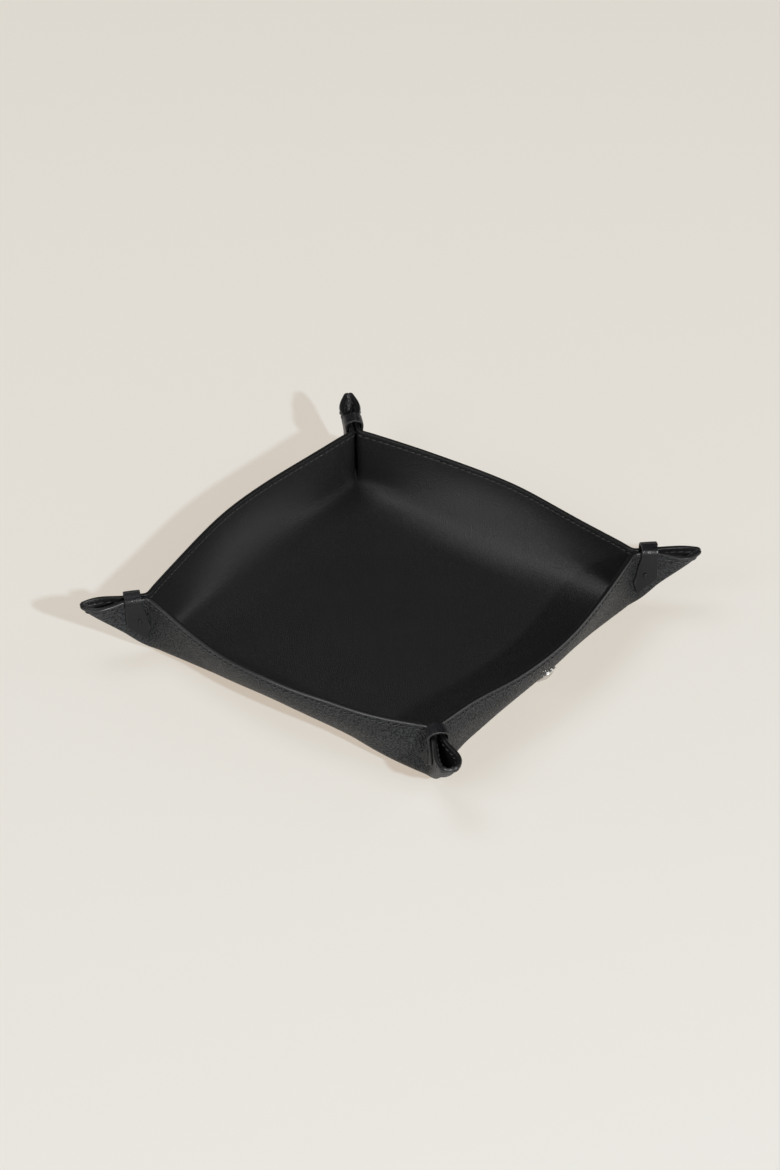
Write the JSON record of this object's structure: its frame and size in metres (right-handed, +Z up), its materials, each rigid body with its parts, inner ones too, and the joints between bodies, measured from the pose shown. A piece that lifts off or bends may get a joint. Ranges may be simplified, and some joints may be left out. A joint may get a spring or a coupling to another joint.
{
  "type": "valet tray",
  "caption": "Soft square leather valet tray with curved walls and pinched corner ears, each held by a pointed strap that unbuttons; holds keys, coins and a phone.",
  "frame": {"origin": "middle of the base, on the surface it stands on", "axes": "+X and +Y along the sides, with the badge on the -Y wall, +Z up"},
  "size_m": [0.2284, 0.2322, 0.0377],
  "materials": {
    "grained_leather": "fine grain, satin",
    "smooth_leather": "smooth, matt",
    "strap_leather": "smooth, satin",
    "black_metal": "matt black",
    "steel": "satin",
    "badge_metal": "satin"
  },
  "bodies": {
    "tray": {"outer_leather": "grained_leather", "lining": "smooth_leather", "back_right_strap": "strap_leather", "back_left_strap": "strap_leather", "front_left_strap": "strap_leather", "front_right_strap": "strap_leather", "strap_rivets": "black_metal", "strap_studs": "black_metal", "backing_washers": "steel", "badge": "badge_metal"},
    "back_right_flap": {"back_right_tongue": "strap_leather"},
    "back_left_flap": {"back_left_tongue": "strap_leather"},
    "front_left_flap": {"front_left_tongue": "strap_leather"},
    "front_right_flap": {"front_right_tongue": "strap_leather"}
  },
  "joints": [
    {"name": "back_right_tongue_bend", "type": "hinge", "parent": "tray", "child": "back_right_flap", "pos_m": [0.09651, 0.08958, 0.03409], "axis": [-0.6932, -0.7178, 0.0645], "range_deg": [0, 150]},
    {"name": "back_left_tongue_bend", "type": "hinge", "parent": "tray", "child": "back_left_flap", "pos_m": [-0.08916, 0.0968, 0.03409], "axis": [0.7056, -0.7056, 0.0645], "range_deg": [0, 150]},
    {"name": "front_left_tongue_bend", "type": "hinge", "parent": "tray", "child": "front_left_flap", "pos_m": [-0.0949, -0.09166, 0.03409], "axis": [0.6253, 0.7777, 0.0645], "range_deg": [0, 150]},
    {"name": "front_right_tongue_bend", "type": "hinge", "parent": "tray", "child": "front_right_flap", "pos_m": [0.08916, -0.0968, 0.03409], "axis": [-0.7056, 0.7056, 0.0645], "range_deg": [0, 150]}
  ]
}
